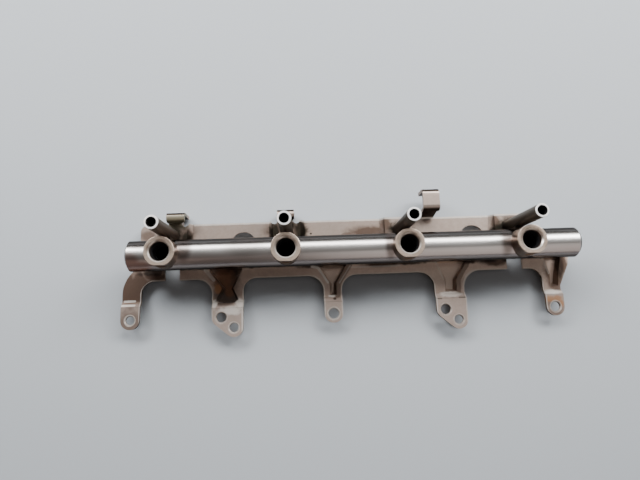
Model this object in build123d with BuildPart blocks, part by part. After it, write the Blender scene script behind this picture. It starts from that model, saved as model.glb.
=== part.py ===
from build123d import *
from math import atan2, degrees, radians, sqrt, tan
import os

# Fuel rail for a four-cylinder engine: a closed steel tube with four brazed
# injector cups, four brazed bolt sleeves and one pressed and folded carrier
# plate that the sleeves stand on. Millimetres. The origin is on the back face
# of the plate, under the tube's axis, midway between the second and third
# cups. X runs along the tube, Z is the way the cups and sleeves point.

# Rail tube
tube_height = 24.0
pitch = 90.0
cup_count = 4
tube_od = 23.0
tube_wall = 1.5
left_overhang = 27.3
right_overhang = 42.2

# End caps
cap_wall = 1.5
cap_skirt = 5.0
left_dome = 3.5
right_dome = 5.3

# Injector cups
cup_od = 21.8
cup_height = 23.5
cup_bore = 13.7
cup_depth = 11.0
cup_lead_in = 1.15
cup_rim_round = 0.35
cup_flat_width = 9.0
cup_flat_height = 8.0
feed_hole = 11.0

# Bolt sleeves
sleeve_od = 10.0
sleeve_bore = 6.8
sleeve_length = 59.0
sleeve_gap = 0.8
sleeve_edge = 0.3
web_width = 6.0
web_rise = 3.0
web_drop = 6.0

# Inlet boss on the back of the tube
inlet_x = 22.0
inlet_od = 14.0
inlet_bore = 8.0
inlet_height = 8.0

# Carrier plate
sheet = 2.5
upper_edge = 27.5
lower_edge = -17.3
plate_left = -162.0
plate_right = 149.5
right_shoulder = 15.0
right_tip = (184.0, -8.0)
right_flank = (182.8, -15.0)
corner_round = 5.0
pad_foot = 29.0
pad_top = 22.0
pad_height = 5.0
window = 20.8
window_y = 9.5
window_x = (-80.0, 106.0)
notch_y = -4.0
notches = ((-142.6, -130.9), (132.6, 145.5))
inlet_window = 16.0

# Legs of the carrier plate: the two sides of each leg, the blends into the
# strip left and right of it, the line of its joggle, and its bolt holes as
# (x, y, diameter)
legs = (
    {"sides": (-175.3, -160.7), "blends": (0, 10.0), "bend": -35.3,
     "holes": ((-168.1, -47.5, 6.8),)},
    {"sides": (-105.3, -80.6), "blends": (12.0, 10.0), "bend": -38.5,
     "holes": ((-97.8, -47.6, 7.8), (-88.0, -55.7, 7.0))},
    {"sides": (-17.0, -2.6), "blends": (12.5, 12.5), "bend": -36.5,
     "holes": ((-9.8, -47.7, 8.1),)},
    {"sides": (72.0, 96.1), "blends": (12.0, 14.0), "bend": -37.0,
     "holes": ((79.0, -47.6, 7.8), (88.9, -56.0, 7.0))},
    {"sides": (160.3, 174.6), "blends": (9.5, 0), "bend": -37.2,
     "holes": ((167.4, -48.6, 7.7),)},
)
leg_join = -32.0
joggle_step = 3.5
joggle_run = 4.5
foot_round = 7.2
hole_edge = 0.6

# Pressed pockets that stiffen the legs: a funnel whose straight sides run from
# its head to a waist, and on to its tail at the joggle. Each row is a half of
# the outline as (x, y) points from head to tail
pockets = (
    {"left": ((-109.0, -8.0), (-97.4, -25.0), (-103.0, -35.0), (-99.0, -37.6)),
     "right": ((-80.4, -8.0), (-88.6, -25.0), (-84.6, -34.0), (-88.5, -37.4))},
    {"left": ((-20.7, -8.0), (-12.2, -23.8), (-12.2, -33.4)),
     "right": ((2.8, -8.0), (-6.6, -23.8), (-6.8, -33.4))},
    {"left": ((75.0, -8.0), (80.6, -23.8), (80.4, -33.6)),
     "right": ((100.9, -8.0), (90.4, -23.8), (89.9, -33.6))},
    {"left": ((162.8, -8.0), (167.0, -22.0), (166.4, -32.0)),
     "right": ((177.4, -8.0), (174.2, -22.0), (172.8, -32.0))},
)
pocket_depth = 4.4
pocket_lean = 24.0
pocket_wall = 0.7
least_floor = 0.35

# Harness hooks folded up from the plate's upper edge: each has a neck that is
# narrower than its head on the right, and the first two have relief notches
hooks = (
    {"x": -131.5, "width": 14.0, "reach": 5.0, "rise": 13.5, "drop": 18.5, "lean": 0.0,
     "inset": 3.7, "reliefs": (-1, 1)},
    {"x": -45.5, "width": 13.4, "reach": 5.0, "rise": 13.5, "drop": 18.5, "lean": 0.0,
     "inset": 1.0, "reliefs": (-1, 1)},
    {"x": 70.2, "width": 13.2, "reach": 14.5, "rise": 17.5, "drop": 15.5, "lean": 3.0,
     "inset": 1.6, "reliefs": ()},
)
hook_bend = 2.8
hook_shoulder = 5.0
relief_radius = 2.6

# Sizes that follow from the ones above
tube_r = tube_od / 2
half_span = (cup_count - 1) * pitch / 2
tube_left = -half_span - left_overhang
tube_right = half_span + right_overhang
tube_axis = Axis((0, 0, tube_height), (1, 0, 0))
cup_x = [pitch * i - half_span for i in range(cup_count)]
cup_face = tube_height + cup_height
sleeve_y = tube_r + sleeve_gap + sleeve_od / 2
sleeve_base = sheet + pad_height

os.makedirs("parts", exist_ok=True)


# The plane across the tube at one place along it
def tube_section(x):
    return Plane((x, 0, tube_height), x_dir=(0, 1, 0), z_dir=(1, 0, 0))


# Tube, open at both ends, with a feed hole under each cup and the inlet hole
with BuildPart() as rail_tube:
    with BuildSketch(tube_section(tube_left)):
        Circle(tube_r)
        Circle(tube_r - tube_wall, mode=Mode.SUBTRACT)
    extrude(amount=tube_right - tube_left)
    with BuildSketch(Plane.XY.offset(tube_height)):
        with Locations([(x, 0) for x in cup_x]):
            Circle(feed_hole / 2)
    extrude(amount=tube_r, mode=Mode.SUBTRACT)
    with BuildSketch(Plane.XY.offset(tube_height)):
        with Locations((inlet_x, 0)):
            Circle(inlet_bore / 2)
    extrude(amount=-tube_r, mode=Mode.SUBTRACT)
rail_tube.part.label = "rail_tube"
export_step(rail_tube.part, "parts/rail_tube.step")


# Pressed end cap: a shallow dome outside and a skirt inside the tube's end
def end_cap(seat_x, dome, side):
    dome_radius = (tube_r ** 2 + dome ** 2) / (2 * dome)
    inner_radius = dome_radius - cap_wall
    centre_x = seat_x + side * (dome - dome_radius)
    skirt_r = tube_r - tube_wall
    throat_r = skirt_r - cap_wall
    skirt_end = seat_x - side * cap_skirt

    def on_dome(radius, height):
        return (centre_x + side * sqrt(radius ** 2 - height ** 2), height)

    apex = on_dome(dome_radius, 0)
    inner_apex = on_dome(inner_radius, 0)
    throat = on_dome(inner_radius, throat_r)
    with BuildPart() as cap:
        with BuildSketch(Plane((0, 0, tube_height), x_dir=(1, 0, 0), z_dir=(0, -1, 0))):
            with BuildLine():
                ThreePointArc(apex, on_dome(dome_radius, tube_r / 2), (seat_x, tube_r))
                Polyline(
                    (seat_x, tube_r),
                    (seat_x, skirt_r),
                    (skirt_end, skirt_r),
                    (skirt_end, throat_r),
                    throat,
                )
                ThreePointArc(throat, on_dome(inner_radius, throat_r / 2), inner_apex)
                Line(inner_apex, apex)
            make_face()
        revolve(axis=tube_axis)
    return cap.part


left_end_cap = end_cap(tube_left, left_dome, -1)
left_end_cap.label = "left_end_cap"
export_step(left_end_cap, "parts/left_end_cap.step")

right_end_cap = end_cap(tube_right, right_dome, 1)
right_end_cap.label = "right_end_cap"
export_step(right_end_cap, "parts/right_end_cap.step")


# Injector cups: turned sockets whose foot is saddled over the tube, with a
# seat over the feed hole, a lead-in for the injector's seal ring and a small
# flat that sets their turn
flat_y = -sqrt((cup_od / 2) ** 2 - (cup_flat_width / 2) ** 2)

for number, x in enumerate(cup_x, start=1):
    with BuildPart() as injector_cup:
        with BuildSketch(Plane.XY.offset(tube_height)):
            with Locations((x, 0)):
                Circle(cup_od / 2)
        extrude(amount=cup_height)
        rim = injector_cup.edges().filter_by(GeomType.CIRCLE).sort_by(Axis.Z)[-1]
        fillet(rim, cup_rim_round)
        with BuildSketch(Plane.XY.offset(cup_face)):
            with Locations((x, flat_y)):
                Rectangle(cup_od, cup_od, align=(Align.CENTER, Align.MAX))
        extrude(amount=-cup_flat_height, mode=Mode.SUBTRACT)
        with BuildSketch(Plane.XY.offset(tube_height)):
            with Locations((x, 0)):
                Circle(feed_hole / 2)
        extrude(amount=cup_height, mode=Mode.SUBTRACT)
        with BuildSketch(Plane.XY.offset(cup_face)):
            with Locations((x, 0)):
                Circle(cup_bore / 2)
        extrude(amount=-cup_depth, mode=Mode.SUBTRACT)
        with BuildSketch(Plane.XY.offset(cup_face)):
            with Locations((x, 0)):
                Circle(cup_bore / 2 + cup_lead_in)
        extrude(amount=-cup_lead_in, taper=45, mode=Mode.SUBTRACT)
        with BuildSketch(tube_section(x - cup_od)):
            Circle(tube_r)
        extrude(amount=2 * cup_od, mode=Mode.SUBTRACT)
    injector_cup.part.label = f"injector_cup_{number}"
    export_step(injector_cup.part, f"parts/injector_cup_{number}.step")


# Bolt sleeves: plain turned tubes, each with the braze web that ties it to
# the side of the rail tube
for number, x in enumerate(cup_x, start=1):
    with BuildPart() as bolt_sleeve:
        with BuildSketch(Plane.XY.offset(sleeve_base)):
            with Locations((x, sleeve_y)):
                Circle(sleeve_od / 2)
        extrude(amount=sleeve_length)
        chamfer(bolt_sleeve.edges().filter_by(GeomType.CIRCLE), sleeve_edge)
        with BuildSketch(Plane.XY.offset(tube_height - web_drop)):
            with Locations((x, sleeve_y)):
                Rectangle(web_width, sleeve_od, align=(Align.CENTER, Align.MAX))
        extrude(amount=web_drop + web_rise)
        with BuildSketch(tube_section(x - web_width)):
            Circle(tube_r)
        extrude(amount=2 * web_width, mode=Mode.SUBTRACT)
        with BuildSketch(Plane.XY.offset(sleeve_base)):
            with Locations((x, sleeve_y)):
                Circle(sleeve_bore / 2)
        extrude(amount=sleeve_length, mode=Mode.SUBTRACT)
        mouths = bolt_sleeve.edges().filter_by(GeomType.CIRCLE).filter_by(
            lambda edge: abs(edge.radius - sleeve_bore / 2) < 0.01
        )
        chamfer(mouths, sleeve_edge)
    bolt_sleeve.part.label = f"bolt_sleeve_{number}"
    export_step(bolt_sleeve.part, f"parts/bolt_sleeve_{number}.step")


# Inlet boss, saddled on the back of the tube
with BuildPart() as inlet_boss:
    with BuildSketch(Plane.XY.offset(tube_height)):
        with Locations((inlet_x, 0)):
            Circle(inlet_od / 2)
            Circle(inlet_bore / 2, mode=Mode.SUBTRACT)
    extrude(amount=-tube_r - inlet_height)
    with BuildSketch(tube_section(inlet_x - inlet_od)):
        Circle(tube_r)
    extrude(amount=2 * inlet_od, mode=Mode.SUBTRACT)
inlet_boss.part.label = "inlet_boss"
export_step(inlet_boss.part, "parts/inlet_boss.step")


# One leg's joggled foot: its side view folded over its outline
def leg_foot(leg):
    left, right = leg["sides"]
    ramp_top = leg["bend"] + joggle_run / 2
    ramp_foot = leg["bend"] - joggle_run / 2
    far_end = min(hole[1] for hole in leg["holes"]) - 2 * foot_round
    with BuildPart() as foot:
        with BuildSketch(Plane.YZ.offset(left - foot_round)):
            with BuildLine():
                Polyline(
                    (leg_join, 0),
                    (leg_join, sheet),
                    (ramp_top, sheet),
                    (ramp_foot, sheet + joggle_step),
                    (far_end, sheet + joggle_step),
                    (far_end, joggle_step),
                    (ramp_foot, joggle_step),
                    (ramp_top, 0),
                    close=True,
                )
            make_face()
        extrude(amount=right - left + 2 * foot_round)
        with BuildSketch():
            with Locations(((left + right) / 2, leg_join)):
                Rectangle(right - left, sheet, align=(Align.CENTER, Align.MAX))
            for x, y, diameter in leg["holes"]:
                with Locations((x, y)):
                    Circle(foot_round)
            make_hull()
        extrude(amount=sheet + joggle_step, mode=Mode.INTERSECT)
    return foot.part


feet = [leg_foot(leg) for leg in legs]


# One hook: its side view, extruded over its width
def harness_hook(hook):
    middle = sheet / 2
    roof_z = sheet + hook["rise"] - middle
    wall_y = upper_edge + middle
    roof_y = wall_y + hook["lean"]
    lip_y = roof_y + hook["reach"]
    with BuildPart() as tab:
        with BuildSketch(Plane.YZ.offset(hook["x"] - hook["width"] / 2)):
            with BuildLine():
                FilletPolyline(
                    (upper_edge - 2 * sheet, middle),
                    (wall_y, middle),
                    (roof_y, roof_z),
                    (lip_y, roof_z),
                    (lip_y, roof_z + middle - hook["drop"]),
                    radius=min(hook_bend, hook["reach"] / 2.2),
                )
            trace(line_width=sheet)
        extrude(amount=hook["width"])
        head_right = hook["x"] + hook["width"] / 2
        neck_right = head_right - hook["inset"]
        shoulder_z = sheet + hook["rise"] - hook_shoulder
        with BuildSketch(Plane.XZ.offset(-upper_edge - sheet - hook["lean"])):
            with BuildLine():
                Polyline(
                    (neck_right, -sheet),
                    (head_right + sheet, -sheet),
                    (head_right + sheet, shoulder_z + hook["inset"] / 2),
                    (head_right, shoulder_z + hook["inset"] / 2),
                    (neck_right, shoulder_z - hook["inset"] / 2),
                    close=True,
                )
            make_face()
        extrude(amount=4 * sheet + hook["lean"], mode=Mode.SUBTRACT)
    return tab.part


hook_tabs = [harness_hook(hook) for hook in hooks]


# One pocket: its outline at a face of the sheet, grown by the wall that stands
# round it, pressed down with leaning walls that keep a floor between them
def pocket_press(pocket, face_z, grow):
    lean = pocket_depth * tan(radians(pocket_lean))
    left_rim, right_rim, left_floor, right_floor = [], [], [], []
    last = len(pocket["left"]) - 1
    for i, ((left, left_y), (right, right_y)) in enumerate(zip(pocket["left"], pocket["right"])):
        end = {0: 1, last: -1}.get(i, 0)
        step = min(lean, (right - left) * (1 - least_floor) / 2)
        left_rim.append((left - grow, left_y + end * grow))
        right_rim.append((right + grow, right_y + end * grow))
        left_floor.append((left + step - grow, left_y + end * (grow - lean)))
        right_floor.append((right - step + grow, right_y + end * (grow - lean)))
    with BuildPart() as press:
        for z, left, right in (
            (face_z, left_rim, right_rim),
            (face_z - pocket_depth, left_floor, right_floor),
        ):
            with BuildSketch(Plane.XY.offset(z)):
                with BuildLine():
                    Polyline(*left, *reversed(right), close=True)
                make_face()
        loft(ruled=True)
    return press.part


pocket_backs = [pocket_press(pocket, 0, pocket_wall) for pocket in pockets]
pocket_hollows = [pocket_press(pocket, sheet, 0) for pocket in pockets]

# Carrier plate: one pressed and folded sheet with raised pads under the
# sleeves, pocketed legs, joggled feet and harness hooks
pad_spots = [(x, sleeve_y) for x in cup_x]
pad_taper = degrees(atan2((pad_foot - pad_top) / 2, pad_height))

with BuildSketch() as pad_outline:
    with Locations(pad_spots):
        Circle(pad_foot / 2)
        Rectangle(pad_foot, 2 * pad_foot, align=(Align.CENTER, Align.MIN))

with BuildPart() as carrier_plate:
    with BuildSketch() as outline:
        first_left, first_right = legs[0]["sides"]
        arm_round = legs[0]["blends"][1]
        arm_centre = (first_right + arm_round, lower_edge - arm_round)
        arm_radius = arm_centre[0] - first_left
        arm_top = arm_centre[1] + sqrt(arm_radius ** 2 - (plate_left - arm_centre[0]) ** 2)
        corners = [(plate_left, arm_top), (plate_left, upper_edge), (plate_right, upper_edge)]
        corners += [(plate_right, right_shoulder), right_tip, right_flank]
        for leg in reversed(legs):
            left, right = leg["sides"]
            if leg is not legs[-1]:
                corners.append((right, lower_edge))
            corners += [(right, leg_join), (left, leg_join)]
            if leg is not legs[0]:
                corners.append((left, lower_edge))
        corners.append((first_left, arm_centre[1]))
        with BuildLine():
            Polyline(*corners)
            RadiusArc((first_left, arm_centre[1]), (plate_left, arm_top), arm_radius)
        make_face()
        for leg in legs:
            for side_x, blend in zip(leg["sides"], leg["blends"]):
                if blend:
                    root = outline.vertices().sort_by_distance((side_x, lower_edge, 0))[0]
                    fillet(root, blend)
        fillet(outline.vertices().group_by(Axis.Y)[-1], corner_round)
    extrude(amount=sheet)
    for foot in feet:
        add(foot)
    with BuildSketch(Plane.XY.offset(sheet)):
        add(pad_outline.sketch)
    extrude(amount=pad_height, taper=pad_taper)
    with BuildSketch():
        add(pad_outline.sketch)
    extrude(amount=pad_height, taper=pad_taper, mode=Mode.SUBTRACT)
    with BuildSketch():
        with Locations((0, upper_edge)):
            Rectangle(2 * tube_right, 2 * pad_foot, align=(Align.CENTER, Align.MIN))
    extrude(amount=sleeve_base, mode=Mode.SUBTRACT)
    for press in pocket_backs:
        add(press)
    for press in pocket_hollows:
        add(press, mode=Mode.SUBTRACT)
    with BuildSketch():
        with Locations(pad_spots):
            Circle(sleeve_bore / 2)
        with Locations([(x, window_y) for x in window_x]):
            Circle(window / 2)
        with Locations((inlet_x, 0)):
            Circle(inlet_window / 2)
        for leg in legs:
            for x, y, diameter in leg["holes"]:
                with Locations((x, y)):
                    Circle(diameter / 2)
        for left, right in notches:
            with Locations(((left + right) / 2, notch_y)):
                Rectangle(right - left, tube_od, align=(Align.CENTER, Align.MAX))
                Circle((right - left) / 2)
        for hook in hooks:
            for side in hook["reliefs"]:
                inset = hook["inset"] if side > 0 else 0
                relief_x = hook["x"] + side * (hook["width"] / 2 + relief_radius - inset)
                with Locations((relief_x, upper_edge)):
                    Circle(relief_radius)
    extrude(amount=sleeve_base, mode=Mode.SUBTRACT)
    foot_mouths = carrier_plate.edges().filter_by(GeomType.CIRCLE).filter_by(
        lambda edge: edge.center().Y < leg_join
        and abs(edge.center().Z - sheet - joggle_step) < 0.01
        and edge.is_closed
    )
    chamfer(foot_mouths, hole_edge)
    for tab in hook_tabs:
        add(tab)
carrier_plate.part.label = "carrier_plate"
export_step(carrier_plate.part, "parts/carrier_plate.step")
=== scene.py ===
import bpy
from mathutils import Matrix, Vector

mm = 0.001
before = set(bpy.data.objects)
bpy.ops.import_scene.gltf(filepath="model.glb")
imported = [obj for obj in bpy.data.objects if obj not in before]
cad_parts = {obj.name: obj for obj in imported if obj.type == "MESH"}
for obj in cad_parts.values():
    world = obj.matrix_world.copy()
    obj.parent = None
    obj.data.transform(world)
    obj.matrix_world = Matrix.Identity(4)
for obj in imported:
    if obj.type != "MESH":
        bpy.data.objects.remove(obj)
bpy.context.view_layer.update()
bpy.ops.object.select_all(action="DESELECT")
print("frame loaded")


# A number socket that can be written into sums like a plain number
class Num:
    def __init__(self, tree, socket):
        self.tree = tree
        self.socket = socket

    def math(self, operation, *others, clamp=False):
        return self.tree.add(
            "ShaderNodeMath", {"operation": operation, "use_clamp": clamp},
            dict(enumerate((self, *others))),
        )

    def __add__(self, other):
        return self.math("ADD", other)

    def __radd__(self, other):
        return self.math("ADD", other)

    def __sub__(self, other):
        return self.math("SUBTRACT", other)

    def __rsub__(self, other):
        return self * -1 + other

    def __mul__(self, other):
        return self.math("MULTIPLY", other)

    def __rmul__(self, other):
        return self.math("MULTIPLY", other)

    def __truediv__(self, other):
        return self.math("DIVIDE", other)

    def __pow__(self, other):
        return self.math("POWER", other)

    def __neg__(self):
        return self * -1

    def abs(self):
        return self.math("ABSOLUTE")

    def clamp(self):
        return self.math("ADD", 0.0, clamp=True)

    def least(self, other):
        return self.math("MINIMUM", other)

    def most(self, other):
        return self.math("MAXIMUM", other)


# The nodes of a material or of the world
class Tree:
    def __init__(self, tree):
        self.nodes = tree.nodes
        self.links = tree.links

    # Adds one node: its settings first, then the values or links of its sockets
    def add(self, kind, settings, inputs, output=0):
        node = self.nodes.new(kind)
        for name, value in settings.items():
            if name == "stops":
                self.setStops(node.color_ramp, value)
            else:
                setattr(node, name, value)
        for name, value in inputs.items():
            self.feed(node.inputs[name], value)
        if output is None:
            return node
        socket = node.outputs[output]
        return Num(self, socket) if socket.type == "VALUE" else socket

    def feed(self, socket, value):
        if isinstance(value, Num):
            value = value.socket
        if isinstance(value, bpy.types.NodeSocket):
            self.links.new(value, socket)
        else:
            socket.default_value = value

    def setStops(self, ramp, stops):
        while len(ramp.elements) < len(stops):
            ramp.elements.new(0.5)
        for element, (position, colour) in zip(ramp.elements, stops):
            element.position = position
            element.color = (*colour, 1.0)


# Edges of a mark that doesn't name its own
markEdge = {"ragged": 0.5, "soft": 0.45}


# One material's nodes. Its x, y and z are a point's place on the part in mm
class Shader(Tree):
    def __init__(self, name):
        self.material = bpy.data.materials.new(name)
        self.material.use_nodes = True
        super().__init__(self.material.node_tree)
        self.bsdf = self.nodes["Principled BSDF"]
        self.place = self.add("ShaderNodeTexCoord", {}, {}, "Object")
        self.x, self.y, self.z = (side / mm for side in self.split(self.place))
        facing = self.add("ShaderNodeNewGeometry", {}, {}, "Normal")
        self.normalX, self.normalY, self.normalZ = self.split(facing)

    def split(self, vector):
        parts = self.add("ShaderNodeSeparateXYZ", {}, {0: vector}, None)
        return [Num(self, parts.outputs[name]) for name in "XYZ"]

    # 0 below low, 1 above high, smooth between
    def rise(self, value, low, high):
        return self.add(
            "ShaderNodeMapRange", {"interpolation_type": "SMOOTHSTEP"},
            {"Value": value, "From Min": low, "From Max": high},
        )

    # 1 below low, 0 above high, smooth between
    def fall(self, value, low, high):
        return 1 - self.rise(value, low, high)

    def noise(self, scale, detail, stretch=(1, 1, 1), distortion=0.0):
        spot = self.add("ShaderNodeMapping", {}, {0: self.place, "Scale": stretch})
        return self.add(
            "ShaderNodeTexNoise", {},
            {"Vector": spot, "Scale": scale, "Detail": detail, "Distortion": distortion}, "Fac",
        )

    def blend(self, factor, first, second):
        return self.add(
            "ShaderNodeMix", {"data_type": "RGBA"},
            {0: factor, 6: self.opaque(first), 7: self.opaque(second)}, 2,
        )

    def opaque(self, value):
        return (*value, 1.0) if isinstance(value, tuple) else value

    # Distance from an upright line at a spot, in units of its reach along X and Y
    def reach(self, spotX, spotY, reachX=1.0, reachY=1.0):
        acrossX = (self.x - spotX) / reachX
        acrossY = (self.y - spotY) / reachY
        return (acrossX * acrossX + acrossY * acrossY) ** 0.5

    # 1 inside a soft, ragged patch and 0 outside it: x, y, half width, half height
    def patch(self, spot, ragged, amount, soft):
        far = self.reach(*spot) + (ragged - 0.5) * (2 * amount)
        return self.fall(far, 1 - soft, 1 + soft)

    # The strongest of a mark's patches
    def patches(self, mark, ragged):
        strongest = None
        edge = {**markEdge, **mark}
        for spot in mark["spots"]:
            inside = self.patch(spot, ragged, edge["ragged"], edge["soft"])
            strongest = inside if strongest is None else strongest.most(inside)
        return strongest

    # A colour with marks in a look's tint laid over it
    def stain(self, colour, look, name, ragged):
        mark = look[name]
        return self.blend(self.patches(mark, ragged) * mark["strength"], colour, look[mark["tint"]])

    # 1 on a thin line through the points and 0 beside it
    def seam(self, points, width, ragged, amount):
        nearest = None
        for (startX, startY), (endX, endY) in zip(points, points[1:]):
            runX, runY = endX - startX, endY - startY
            fromX = self.x - startX
            fromY = self.y - startY
            share = ((fromX * runX + fromY * runY) / (runX ** 2 + runY ** 2)).clamp()
            besideX = fromX - share * runX
            besideY = fromY - share * runY
            far = (besideX * besideX + besideY * besideY) ** 0.5
            nearest = far if nearest is None else nearest.least(far)
        return self.fall(nearest + (ragged - 0.5) * amount, width * 0.5, width)

    # How far outside a round-cornered arch a point is
    def arch(self, left, right, top, corner):
        middle = (left + right) / 2
        besideX = ((self.x - middle).abs() - (right - middle - corner)).most(0)
        aboveY = (self.y - (top - corner)).most(0)
        return (besideX * besideX + aboveY * aboveY) ** 0.5 - corner

    # The bump comes as its height, strength and depth in mm. "edge" dims the
    # mirror of grazing light
    def finish(self, baseColour, roughness, metallic, bump=None, edge=1.0):
        self.feed(self.bsdf.inputs["Specular Tint"], (edge, edge, edge, 1.0))
        self.feed(self.bsdf.inputs["Base Color"], self.opaque(baseColour))
        self.feed(self.bsdf.inputs["Roughness"], roughness)
        self.feed(self.bsdf.inputs["Metallic"], metallic)
        if bump is not None:
            height, strength, depth = bump
            relief = self.add(
                "ShaderNodeBump", {},
                {"Height": height, "Strength": strength, "Distance": depth * mm}, "Normal",
            )
            self.feed(self.bsdf.inputs["Normal"], relief)
        return self.material


def dress(nodeName, material):
    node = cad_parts[nodeName]
    node.data.materials.clear()
    node.data.materials.append(material)


cupPitch = 90.0


# How far along the tube from the nearest cup
def nearCup(shader):
    wrapped = shader.add(
        "ShaderNodeMath", {"operation": "WRAP"}, {0: shader.x, 1: cupPitch, 2: 0.0},
    )
    return wrapped - cupPitch / 2


# Rail tube: satin drawn steel, with a painted reflection of the dim room on its lower side and
# darker patches beside the cups.
# A noise is its scale, detail, stretch and distortion. A pair of numbers is a span
# over which something sets in or fades, in mm or as a part of a normal or a noise.
# Marks are made of spots, each with its x, y, half width and half height in mm
tubeLook = {
    "axisZ": 24.0, "boreR": (10.6, 11.0), "streaks": (60, 4, (1, 14, 14)),
    "cloud": (26, 4, (1, 1, 1), 0.4),
    "steel": (0.55, 0.53, 0.51), "shade": (0.46, 0.39, 0.375), "darkBrown": (0.13, 0.10, 0.09),
    "flank": (0.06, 0.051, 0.047), "red": (0.24, 0.12, 0.09), "inside": (0.02, 0.016, 0.014),
    "shadeSpan": (-2, 9), "shadeRagged": 6, "shadeStrength": 0.8,
    "upperFlank": (3.2, 9.6), "upperFacing": (-0.15, 0.15),
    "lowerFlank": (7.5, 11), "lowerStrength": 0.9, "flankStrength": 0.97,
    "roughness": 0.31, "streakRoughness": 0.03, "boreRoughness": 0.4, "flankGloss": 0.12,
    "edge": 0.5,
    # Darker patches beside the cups
    "darkBesideCups": {
        "tint": "darkBrown", "strength": 0.8,
        "spots": ((-121, 3, 5.5, 8), (33.2, 0, 3.8, 10), (121.5, 0, 4.5, 10)),
    },
    "dulled": {
        "tint": "darkBrown", "strength": 0.35,
        "spots": ((-76, 3, 13, 7), (-150, 6, 9, 3)),
    },
    "reddened": {
        "tint": "red", "strength": 0.6,
        "spots": ((-160, -5, 6, 6), (-155, -9, 9, 3)),
    },
    "lined": {
        "tint": "darkBrown", "strength": 0.7, "ragged": 0.2,
        "spots": ((-63.5, 7.6, 8, 0.35), (-28, 8.0, 8, 0.35)),
    },
}


def tubeSteel():
    look = tubeLook
    shader = Shader("tubeSteel")
    streaks = shader.noise(*look["streaks"])
    cloud = shader.noise(*look["cloud"])
    # Painted reflection: the lower side is painted in the dim, warm tone it would mirror from the
    # room
    lowerReflection = shader.rise((cloud - 0.5) * look["shadeRagged"] - shader.y, *look["shadeSpan"])
    colour = shader.blend(lowerReflection * look["shadeStrength"], look["steel"], look["shade"])
    # Painted reflection: the flanks are painted dark where they would mirror the dark gap over the
    # plate
    upper = shader.rise(shader.y, *look["upperFlank"])
    upper = upper * shader.rise(shader.normalZ, *look["upperFacing"])
    paintedFlanks = upper.most(shader.rise(-shader.y, *look["lowerFlank"]) * look["lowerStrength"])
    colour = shader.blend(paintedFlanks * look["flankStrength"], colour, look["flank"])
    for name in ("darkBesideCups", "dulled", "reddened", "lined"):
        colour = shader.stain(colour, look, name, cloud)
    height = shader.z - look["axisZ"]
    fromAxis = (shader.y * shader.y + height * height) ** 0.5
    inside = shader.fall(fromAxis, *look["boreR"])
    colour = shader.blend(inside, colour, look["inside"])
    roughness = (streaks - 0.5) * look["streakRoughness"] + look["roughness"]
    roughness = roughness + inside * look["boreRoughness"] - paintedFlanks * look["flankGloss"]
    return shader.finish(colour, roughness, 1 - inside, edge=look["edge"])


# Injector cups: turned steel tinted by the brazing, with painted shade and grime on the side walls
# and painted shade inside the bore, black further down.
# Depths are from the face
cupLook = {
    "faceZ": 47.5, "sideDepth": (0.3, 2.5), "boreShadeDepth": (1.0, 4.6),
    "chamferR": (7.9, 8.2), "boreR": (6.91, 7.16), "mouthShadeR": (7.6, 9.6), "mouthShadeY": (-5, 4),
    # The stain colour is painted shade on the upper side of the mouth
    "face": (0.66, 0.53, 0.43), "bright": (0.95, 0.90, 0.83), "side": (0.30, 0.22, 0.17),
    "lip": (0.11, 0.07, 0.05), "stain": (0.17, 0.11, 0.08), "inside": (0.004, 0.004, 0.005),
    "cloud": (110, 4), "mottle": (0.42, 0.75), "mottleStrength": 0.55,
    "fine": (700, 2), "grain": (0.35, 0.7), "grainStrength": 0.22,
    "mouthShadeRagged": 5, "mouthShadeStrength": 0.8, "mouthShadeOverChamfer": 0.7,
    "roughness": 0.24, "cloudRoughness": 0.12, "boreShadeRoughness": 0.7, "faceMetallic": 0.7,
    "bumpStrength": 0.15, "bumpDepth": 0.05,
}


def cupSteel():
    look = cupLook
    shader = Shader("cupSteel")
    cloud = shader.noise(*look["cloud"])
    fine = shader.noise(*look["fine"])
    along = nearCup(shader)
    radius = (along * along + shader.y * shader.y) ** 0.5
    depth = look["faceZ"] - shader.z
    low = shader.rise(depth, *look["sideDepth"])
    mottle = shader.rise(cloud, *look["mottle"]) * look["mottleStrength"]
    colour = shader.blend(mottle, look["face"], look["side"])
    grain = shader.rise(fine, *look["grain"]) * look["grainStrength"]
    colour = shader.blend(grain, colour, look["side"])
    # Painted shade with grime: the side walls below the face are darkened
    colour = shader.blend(low, colour, look["side"])
    # The mouth is turned bright; its upper side is painted in shade, where the chamfer faces away
    # from the light
    stained = shader.fall(radius + (cloud - 0.5) * look["mouthShadeRagged"], *look["mouthShadeR"])
    stained = stained * shader.rise(shader.y, *look["mouthShadeY"])
    colour = shader.blend(stained * look["mouthShadeStrength"], colour, look["stain"])
    chamfer = shader.fall(radius, *look["chamferR"])
    chamfer = chamfer * (1 - stained * look["mouthShadeOverChamfer"])
    colour = shader.blend(chamfer, colour, look["bright"])
    # Painted shade in the bore: dark brown at the lip, black further down
    bore = shader.fall(radius, *look["boreR"])
    colour = shader.blend(bore, colour, look["lip"])
    black = bore * shader.rise(depth + (cloud - 0.5), *look["boreShadeDepth"])
    colour = shader.blend(black, colour, look["inside"])
    roughness = cloud * look["cloudRoughness"] + black * look["boreShadeRoughness"]
    metallic = (1 - black) * (low * (1 - look["faceMetallic"]) + look["faceMetallic"])
    bump = (fine + cloud, look["bumpStrength"], look["bumpDepth"])
    return shader.finish(colour, roughness + look["roughness"], metallic, bump)


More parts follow.
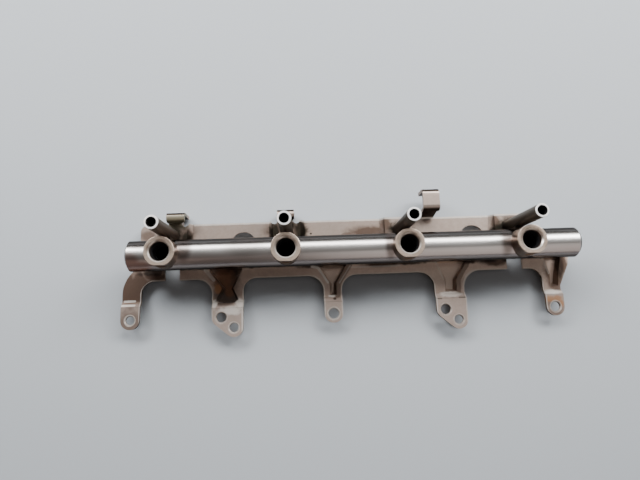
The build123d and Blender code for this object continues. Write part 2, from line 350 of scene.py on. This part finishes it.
# Bolt sleeves: dull sides, darker towards the plate, bright cut ends and a
# bore painted black as shade, reaching onto the cut ends' inner edge. The left one is paler
sleeveLook = {
    "axisY": 17.3, "lowZ": (12, 45), "lowRagged": 30, "cutZ": (66.05, 66.25),
    "boreR": (3.62, 3.77), "cloud": (70, 4, (1, 1, 0.4)),
    "side": (0.092, 0.076, 0.061), "low": (0.050, 0.039, 0.030), "pale": (0.20, 0.16, 0.13),
    "cut": (0.95, 0.93, 0.91), "far": (0.20, 0.17, 0.145), "inside": (0.006, 0.005, 0.005),
    "paleX": (-110, -90), "paleStrength": 0.6, "farFacing": (0.1, 0.6), "farStrength": 0.7,
    "roughness": 0.34, "cloudRoughness": 0.16, "boreRoughness": 0.3, "cutGloss": 0.1,
    "cutMetallic": 0.3, "edge": 0.7,
}


def sleeveSteel():
    look = sleeveLook
    shader = Shader("sleeveSteel")
    cloud = shader.noise(*look["cloud"])
    along = nearCup(shader)
    across = shader.y - look["axisY"]
    radius = (along * along + across * across) ** 0.5
    low = shader.fall(shader.z + (cloud - 0.5) * look["lowRagged"], *look["lowZ"])
    colour = shader.blend(low, look["side"], look["low"])
    pale = shader.fall(shader.x, *look["paleX"])
    colour = shader.blend(pale * look["paleStrength"], colour, look["pale"])
    far = shader.rise(shader.normalY, *look["farFacing"])
    colour = shader.blend(far * look["farStrength"], colour, look["far"])
    cut = shader.rise(shader.z, *look["cutZ"])
    colour = shader.blend(cut, colour, look["cut"])
    # Painted shade in the bore, reaching onto the inner edge of the cut end
    inside = shader.fall(radius, *look["boreR"])
    colour = shader.blend(inside, colour, look["inside"])
    roughness = cloud * look["cloudRoughness"] + inside * look["boreRoughness"]
    roughness = roughness - cut * look["cutGloss"] + look["roughness"]
    metallic = (1 - inside) * (1 - cut * (1 - look["cutMetallic"]))
    return shader.finish(colour, roughness, metallic, edge=look["edge"])


# Carrier plate: pale pressed sheet under a brown film that carries painted shade below the tube,
# with soot round the brazed sleeves, rust in the pockets, bare rims round the bolt holes, and
# painted light, highlights and shade on its strips, pockets and edges
plateLook = {
    "steel": (0.40, 0.33, 0.285), "foot": (0.38, 0.31, 0.27), "rim": (0.72, 0.68, 0.63),
    "film": (0.38, 0.28, 0.23), "strip": (0.68, 0.54, 0.45), "brown": (0.075, 0.042, 0.028),
    "soot": (0.010, 0.011, 0.008), "rust": (0.22, 0.10, 0.05), "ochre": (0.34, 0.17, 0.08),
    "black": (0.018, 0.012, 0.009), "green": (0.16, 0.15, 0.10),
    "cloud": (38, 5, (1, 1, 1), 0.3), "ragged": (150, 4, (1, 1, 1), 0.6), "fine": (500, 3),
    "mottle": (0.35, 0.8), "grain": (0.3, 0.7), "edge": 0.7,
    "bumpStrength": 0.3, "bumpDepth": 0.1, "fineBump": 0.4,
    # Where things lie, in mm. Y counts towards the feet, and upwards where the name
    # says upper
    "spans": {
        "tubeY": (2, 9), "ledgeY": (8, 18), "stripY": (16, 32), "feetY": (30, 34),
        "feetZ": (3, 5.2), "hookZ": (5, 7), "belowHookZ": (4, 5), "palerX": (-50, 10),
        "pocketZ": (1.4, 2.3), "wallY": (0, 4), "contactY": (8.8, 10.2),
        "shearedY": (20, 26), "upperEdge": (27.2, 27.6), "upperRim": (26.6, 27.4),
        "upperSide": (8, 10),
    },
    # How far a face has to look the way that the name says
    "facings": {
        "up": (0.2, 0.6), "pocket": (-0.2, 0.1), "steep": (0.5, 0.8), "rightward": (-0.1, 0.2),
        "leftward": (0.4, 0.8), "upright": (0.2, 0.5), "near": (-0.2, 0.3), "underHook": (0.3, 0.8),
        "bend": (0.2, 0.5), "bendTop": (0.02, 0.25), "aside": (0.2, 0.6),
    },
    # How ragged the edges of these are, in mm
    "raggedness": {
        "tube": 5, "ledge": 6, "contact": 2, "gap": 0.9, "band": 2.0, "brightSeam": 0.9,
        "darkSeam": 0.4,
    },
    "strengths": {
        "mottle": 0.35, "film": 0.98, "ledge": 0.28, "palerFilm": 0.3, "strip": 0.48,
        "palerStrip": 0.5, "foot": 0.8, "grain": 0.16, "pocket": 0.3, "palerPocket": 0.28,
        "pocketStrip": 0.45, "steep": 0.6, "wall": 0.3, "contact": 0.85, "pocketContact": 0.5,
        "sheared": 0.85, "upperEdge": 0.95, "upperRim": 0.35, "bend": 0.95,
    },
    # How much duller than metal
    "dullness": {"film": 0.5, "side": 0.8, "green": 0.6, "bare": 0.4, "steep": 0.8},
    "roughness": {"steel": 0.3, "cloud": 0.14, "ragged": 0.08, "film": 0.12, "soot": 0.1},
    # Brown on the legs, and painted shade along the tube's lower edge and over the first arm
    "brownedAndShaded": {
        "tint": "brown", "strength": 0.9,
        "spots": (
            (-165, -22, 15, 15), (-169, -29, 10, 6), (-150, -14, 12, 3), (-94, -16, 10, 12),
            (170, -22, 7, 13), (179, -14, 4, 9), (-9, -10, 9, 1.8), (30, -9.5, 16, 2.4),
            (102, -9.5, 8, 2.2), (123, -11, 11, 3.0),
        ),
    },
    # Grime round the sleeves and feet; the spot under the third hook is painted shadow
    "stained": {
        "tint": "brown", "strength": 0.62,
        "spots": (
            (18, 17.8, 14, 4.5), (-156, 19, 6, 4), (69.7, 24.8, 3.5, 2.6), (139, 19, 7, 8),
            (-125, 18, 6, 7), (-46, 20, 17, 8), (35, 23, 4, 5.5), (125, 22, 3.5, 5),
            (-168, -49, 8.5, 9), (-168, -47.5, 5.6, 5.6), (167.4, -50, 6, 7), (163, -46, 4, 4),
        ),
    },
    "dried": {
        "tint": "brown", "strength": 0.5, "ragged": 0.7, "soft": 0.15,
        "spots": ((21, 16.5, 13.5, 4.2), (4, 14.5, 5, 2.5), (35, 20, 4.5, 6), (125, 20, 3, 6)),
    },
    "sooty": {
        "tint": "soot", "strength": 0.95, "ragged": 0.6,
        "spots": (
            (-54.8, 18, 4.8, 8.5), (-34, 20, 6, 9), (-45, 22, 8, 3.5), (-135, 19, 9, 8),
            (-124.5, 15, 4.5, 6), (45, 17.3, 7.5, 6), (135, 18, 9, 7.5), (127.5, 14.5, 6, 5),
            (-25.8, 16.9, 1.0, 0.8),
        ),
    },
    # Near-black places in the second pocket; the spot down the right wall of the last pocket is
    # painted shade
    "blackened": {
        "tint": "black", "strength": 0.7, "ragged": 0.35,
        "spots": (
            (-95, -31.5, 10, 6.5), (-96.5, -36, 8.5, 2.8), (-91, -13, 6, 5), (176, -16, 3, 12),
        ),
    },
    "rusty": {
        "tint": "rust", "strength": 0.6, "ragged": 0.6,
        "spots": ((-97.5, -17, 8, 8), (-92, -27, 4, 5)),
    },
    "orange": {
        "tint": "ochre", "strength": 0.75, "ragged": 0.6,
        "spots": (
            (-101, -25, 2.5, 3.5), (163, -42.6, 4.5, 2.6), (169.5, -42.4, 4, 2.4),
            (172.5, -46, 1.6, 3),
        ),
    },
    # Painted shadow under the tube's lower edge and over the first arm, and in the fold of the
    # middle leg
    "shadowBlots": {
        "tint": "black", "strength": 0.85, "ragged": 0.7,
        "spots": (
            (-27, -9.2, 11, 2.0), (-151, -10.6, 12, 2.4), (102.4, -9.4, 4, 1.8),
            (117, -9.6, 9, 1.9), (133, -9.6, 5, 1.8), (-8.6, -36.2, 1.3, 1.0),
            (53.9, -9.5, 12, 1.6),
        ),
    },
    # Painted highlights where the ramps down to the feet catch the light, and pale patches on the
    # second foot
    "highlitAndPale": {
        "tint": "rim", "strength": 0.75, "ragged": 0.9,
        "spots": (
            (166.5, -37, 6.8, 1.8), (-10, -33.9, 2.6, 1.0), (84, -36, 8, 1.9),
            (-83.5, -38, 3.6, 5), (-90, -42.5, 9, 3), (-103.3, -37.5, 2.0, 3.4),
        ),
    },
    "greened": {
        "tint": "green", "strength": 0.8, "ragged": 0.3,
        "spots": ((-129, 30, 13, 6),),
    },
    # Lines with their points, width and strength: painted highlights on bends and rounded
    # edges, painted shade in fold creases, and bands of painted shade beside the right walls of the
    # pockets
    "highlightLines": (
        (((-110.5, -10), (-104, -18)), 1.7, 0.5),
        (((-26, -10), (-21, -11), (-13.4, -22.8)), 1.3, 0.7),
        (((5, -10), (-4.2, -23.6)), 0.8, 0.35),
        (((74.2, -9), (79.8, -23.8)), 0.8, 0.25),
        (((162, -9), (166.2, -22)), 0.8, 0.2),
        (((-173.5, -32.6), (-165.5, -32.6)), 1.0, 0.8),
        (((-176, -35.9), (-165, -35.9)), 1.0, 0.7),
        (((-81.4, -35), (-81.4, -60)), 0.8, 0.6),
        (((-119, 26.8), (149, 26.8)), 0.9, 0.6),
        (((6, -11.5), (45, -11.5)), 0.9, 0.4),
    ),
    # Painted shade in fold creases
    "creaseShadeLines": (
        (((73, -39.2), (76, -39.2)), 0.7, 0.6),
        (((90.5, -38.8), (95.6, -38.8)), 0.8, 0.6),
    ),
    # Painted shade beside the right walls of the pockets
    "rightWallShade": (
        (((4, -9), (-6, -24), (-6.6, -33)), 3.8, 0.6),
        (((101.5, -9), (92.2, -23.8), (91.4, -34)), 2.6, 0.6),
        (((176.5, -9), (173.5, -22), (171.5, -32)), 5.5, 0.6),
    ),
    # Bolt holes as x, y, radius and how bare their rims are. The rims fade over a
    # span past the hole
    "holes": (
        (-168.1, -47.5, 3.4, 0.6), (-97.8, -47.6, 3.9, 0.3), (-88.0, -55.7, 3.5, 0.5),
        (-9.8, -47.7, 4.05, 0.55), (79.0, -47.6, 3.9, 0.3), (88.9, -56.0, 3.5, 0.4),
        (167.4, -48.6, 3.85, 0.45),
    ),
    "holeRim": (0.7, 1.5),
    # Gaps between the legs, with painted highlights along their rounded edges: left, right and
    # corner radius
    "gaps": (
        (-160.7, -105.3, 11), (-80.6, -17.0, 11.2), (-2.6, 72.0, 12.2), (96.1, 160.3, 11.5),
    ),
    "gapTopY": -17.3, "gapRim": (0.4, 1.0), "gapStrength": 0.5,
}


# Where the plate is rubbed to bare metal round the bolt holes, and where highlights are painted on
# ramps, bends and rounded edges
def bareMetalAndHighlights(shader, ragged, upward):
    look = plateLook
    bare = shader.patches(look["highlitAndPale"], ragged) * look["highlitAndPale"]["strength"]
    rimStart, rimEnd = look["holeRim"]
    for holeX, holeY, holeR, strength in look["holes"]:
        far = shader.reach(holeX, holeY) + (ragged - 0.5)
        bare = bare.most(shader.fall(far, holeR + rimStart, holeR + rimEnd) * strength)
    for left, right, corner in look["gaps"]:
        far = shader.arch(left, right, look["gapTopY"], corner)
        far = far + (ragged - 0.5) * look["raggedness"]["gap"]
        rim = shader.fall(far, *look["gapRim"]) * upward
        bare = bare.most(rim * look["gapStrength"])
    for points, width, strength in look["highlightLines"]:
        line = shader.seam(points, width, ragged, look["raggedness"]["brightSeam"])
        bare = bare.most(line * strength)
    return bare


def plateSteel():
    look = plateLook
    span, facing, torn = look["spans"], look["facings"], look["raggedness"]
    amount, dulled, rough = look["strengths"], look["dullness"], look["roughness"]
    shader = Shader("plateSteel")
    cloud = shader.noise(*look["cloud"])
    ragged = shader.noise(*look["ragged"])
    fine = shader.noise(*look["fine"])
    south = -shader.y
    upward = shader.rise(shader.normalZ, *facing["up"])
    onHook = shader.rise(shader.z, *span["hookZ"])
    # The film carries painted shade of the tube; it is thick under the tube and thins out towards
    # the feet
    mottle = shader.rise(cloud, *look["mottle"])
    below = shader.rise(south + (cloud - 0.5) * torn["tube"], *span["tubeY"])
    feet = shader.rise(shader.z, *span["feetZ"]) * shader.rise(south, *span["feetY"])
    ledge = shader.rise(south + (ragged - 0.5) * torn["ledge"], *span["ledgeY"])
    # Painted light: the right side is lit more, so its shade is thinner and its strip and pockets
    # lighter
    paler = shader.rise(shader.x, *span["palerX"])
    film = below * (amount["film"] - ledge * amount["ledge"]) * (1 - paler * amount["palerFilm"])
    # Painted light: the strip next to the tube is lifted out of the tube's shadow
    strip = below * shader.fall(south, *span["stripY"])
    strip = strip * (paler * amount["palerStrip"] + amount["strip"])
    colour = shader.blend(mottle * amount["mottle"], look["steel"], look["film"])
    colour = shader.blend(film * (1 - feet), colour, look["film"])
    colour = shader.blend(strip, colour, look["strip"])
    colour = shader.blend(feet * amount["foot"], colour, look["foot"])
    for name in ("brownedAndShaded", "stained", "dried"):
        colour = shader.stain(colour, look, name, ragged)
    soot = shader.patches(look["sooty"], ragged)
    colour = shader.blend(soot * look["sooty"]["strength"], colour, look["soot"])
    grain = (shader.rise(fine, *look["grain"]) + shader.rise(ragged, *look["grain"])) * 0.5
    colour = shader.blend(grain * amount["grain"], colour, look["brown"])
    # Pockets: a browned floor below the face of the sheet, lifted with painted light on the right,
    # and two leaning walls, with a painted highlight on those facing right and painted shade on
    # those facing left
    sunk = shader.fall(shader.z, *span["pocketZ"])
    sunk = sunk * shader.rise(shader.normalZ, *facing["pocket"])
    brown = sunk * (amount["pocket"] - paler * amount["palerPocket"])
    colour = shader.blend(brown, colour, look["brown"])
    colour = shader.blend(sunk * paler * amount["pocketStrip"], colour, look["strip"])
    steep = sunk * shader.fall(shader.normalZ, *facing["steep"])
    steep = steep * shader.rise(shader.normalX, *facing["rightward"])
    colour = shader.blend(steep * amount["steep"], colour, look["strip"])
    wall = shader.rise(-shader.normalX, *facing["leftward"]) * shader.rise(south, *span["wallY"])
    colour = shader.blend(wall * sunk * amount["wall"], colour, look["black"])
    for points, width, strength in look["rightWallShade"]:
        band = shader.seam(points, width, ragged, torn["band"])
        colour = shader.blend(band * strength, colour, look["brown"])
    # Painted shadow along the tube's lower edge, then near-black places, rust, orange rust and more
    # painted shadow
    contact = shader.fall(south + (ragged - 0.5) * torn["contact"], *span["contactY"]) * below
    contact = contact * (amount["contact"] - sunk * amount["pocketContact"])
    colour = shader.blend(contact, colour, look["black"])
    for name in ("blackened", "rusty", "orange", "shadowBlots"):
        colour = shader.stain(colour, look, name, ragged)
    for points, width, strength in look["creaseShadeLines"]:
        line = shader.seam(points, width, ragged, torn["darkSeam"])
        colour = shader.blend(line * strength, colour, look["black"])
    bare = bareMetalAndHighlights(shader, ragged, upward)
    colour = shader.blend(bare, colour, look["rim"])
    # Edges of the sheet: painted shade on the near cut edges of the legs and feet and under the
    # hook roofs, a painted highlight along the top edge
    sheared = shader.fall(shader.normalZ.abs(), *facing["upright"])
    sheared = sheared * shader.rise(south, *span["shearedY"])
    sheared = sheared * shader.rise(-shader.normalY, *facing["near"])
    colour = shader.blend(sheared * amount["sheared"], colour, look["black"])
    shaded = shader.rise(shader.y, *span["upperEdge"])
    shaded = shaded * shader.rise(-shader.normalY, *facing["underHook"])
    colour = shader.blend(shaded * amount["upperEdge"], colour, look["black"])
    topEdgeHighlight = shader.rise(shader.y, *span["upperRim"]) * upward
    topEdgeHighlight = topEdgeHighlight * shader.fall(shader.z, *span["belowHookZ"])
    colour = shader.blend(topEdgeHighlight * amount["upperRim"], colour, look["rim"])
    # Hooks: painted shade on the far bend; the first one greenish on its near side
    bend = shader.rise(shader.normalY, *facing["bend"]) * onHook
    bend = bend * shader.rise(shader.normalZ, *facing["bendTop"])
    colour = shader.blend(bend * amount["bend"], colour, look["black"])
    green = shader.patches(look["greened"], ragged) * onHook * (1 - bend)
    colour = shader.blend(green * look["greened"]["strength"], colour, look["green"])
    # Films, dirt and rims are duller than metal, soot isn't
    side = shader.rise(shader.normalX.abs(), *facing["aside"])
    side = side * shader.rise(shader.y, *span["upperSide"]) * (1 - onHook)
    dull = (film * dulled["film"]).most(side * dulled["side"]).most(green * dulled["green"])
    dull = dull.most(bare * dulled["bare"]).most(steep * dulled["steep"])
    roughness = cloud * rough["cloud"] + ragged * rough["ragged"] + film * rough["film"]
    roughness = roughness + soot * rough["soot"] + rough["steel"]
    bump = (ragged + fine * look["fineBump"], look["bumpStrength"], look["bumpDepth"])
    return shader.finish(colour, roughness, 1 - dull * (1 - soot), bump, look["edge"])


# Each kind of node and its finish, which its copies share
finishes = {
    "rail_tube": tubeSteel, "left_end_cap": tubeSteel, "right_end_cap": tubeSteel,
    "inlet_boss": tubeSteel, "injector_cup": cupSteel, "bolt_sleeve": sleeveSteel,
    "carrier_plate": plateSteel,
}
made = {}
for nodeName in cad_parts:
    make = finishes[nodeName.rstrip("_1234")]
    if make not in made:
        made[make] = make()
    dress(nodeName, made[make])
print("finishes set")


# Floor: a pale sheet that the part lies on
stand = {"level": -4.45, "reach": 3000, "colour": (0.43, 0.46, 0.49), "roughness": 0.8}


def layFloor():
    place = (0, 0, stand["level"] * mm)
    bpy.ops.mesh.primitive_plane_add(size=2 * stand["reach"] * mm, location=place)
    floor = bpy.context.object
    floor.name = "floor"
    floor.data.transform(Matrix.Translation(floor.location))
    floor.location = (0, 0, 0)
    shader = Shader("floorPaper")
    floor.data.materials.append(shader.finish(stand["colour"], stand["roughness"], 0.0))


layFloor()


# Soft studio light: a long lamp behind and one at each side, with a card and a
# fill in front that only the metal mirrors. Places and sizes are in mm, and
# "along" is the direction of each lamp's long side
lamps = {
    "bar": {"at": (125, 680, 715), "size": (1350, 350), "along": (1210, -307, 0), "power": 19.5,
            "colour": (1.0, 0.99, 0.98)},
    "card": {"at": (420, -750, 630), "size": (900, 1150), "along": (1, 0, 0), "power": 2.8,
             "colour": (1.0, 0.95, 0.91), "floor": False},
    "fill": {"at": (-480, -560, 330), "size": (400, 700), "along": (1, -0.8, 0), "power": 0.3,
             "colour": (1.0, 0.78, 0.70), "floor": False},
    "left": {"at": (-650, 560, 640), "size": (380, 300), "along": (1, 1, 0), "power": 8.0,
             "colour": (0.98, 0.99, 1.0)},
    "right": {"at": (680, 480, 600), "size": (380, 300), "along": (1, -1, 0), "power": 5.0,
              "colour": (0.98, 0.99, 1.0)},
}


def hangLamp(name, lamp):
    data = bpy.data.lights.new(name, "AREA")
    data.shape = "RECTANGLE"
    data.size, data.size_y = (side * mm for side in lamp["size"])
    data.energy = lamp["power"]
    data.color = lamp["colour"]
    thing = bpy.data.objects.new(name, data)
    place = Vector(lamp["at"]) * mm
    back = place.normalized()
    across = back.cross(Vector(lamp["along"])).normalized()
    turn = Matrix((across.cross(back), across, back)).transposed()
    thing.matrix_world = Matrix.Translation(place) @ turn.to_4x4()
    thing.visible_diffuse = lamp.get("floor", True)
    bpy.context.collection.objects.link(thing)


for name, lamp in lamps.items():
    hangLamp(name, lamp)


# Room round the part: dim and warm on the near left, paler towards "bright"
room = {
    "bright": (0.35, 0.50, 0.79), "strength": 0.5,
    "stops": ((0.0, (0.08, 0.063, 0.056)), (0.35, (0.14, 0.115, 0.11)),
              (0.75, (0.42, 0.41, 0.40)), (1.0, (0.60, 0.61, 0.62))),
}


def lightRoom():
    world = bpy.data.worlds.new("room")
    world.use_nodes = True
    tree = Tree(world.node_tree)
    outward = tree.add("ShaderNodeTexCoord", {}, {}, "Generated")
    toward = tree.add(
        "ShaderNodeVectorMath", {"operation": "DOT_PRODUCT"},
        {0: outward, 1: room["bright"]}, "Value",
    )
    glow = tree.add("ShaderNodeValToRGB", {"stops": room["stops"]}, {0: toward}, "Color")
    background = tree.nodes["Background"]
    tree.feed(background.inputs["Color"], glow)
    tree.feed(background.inputs["Strength"], room["strength"])
    bpy.context.scene.world = world


lightRoom()
print("light set")


# Camera: looks down on the part from a little left and in front. "turn" is the
# axis of its turn, as long as the angle
lens = {
    "at": (-33.4, -53.4, 401.8), "turn": (2.979, -0.052, 0.051),
    "focal": 28.125, "sensor": 36.0,
}


def setCamera():
    data = bpy.data.cameras.new("camera")
    data.lens = lens["focal"]
    data.sensor_width = lens["sensor"]
    camera = bpy.data.objects.new("camera", data)
    bpy.context.collection.objects.link(camera)
    turn = Vector(lens["turn"])
    sight = Matrix.Rotation(turn.length, 3, turn.normalized()).transposed()
    sight = sight @ Matrix.Diagonal((1, -1, -1))
    camera.matrix_world = Matrix.Translation(Vector(lens["at"]) * mm) @ sight.to_4x4()
    bpy.context.scene.camera = camera


setCamera()
print("camera set")
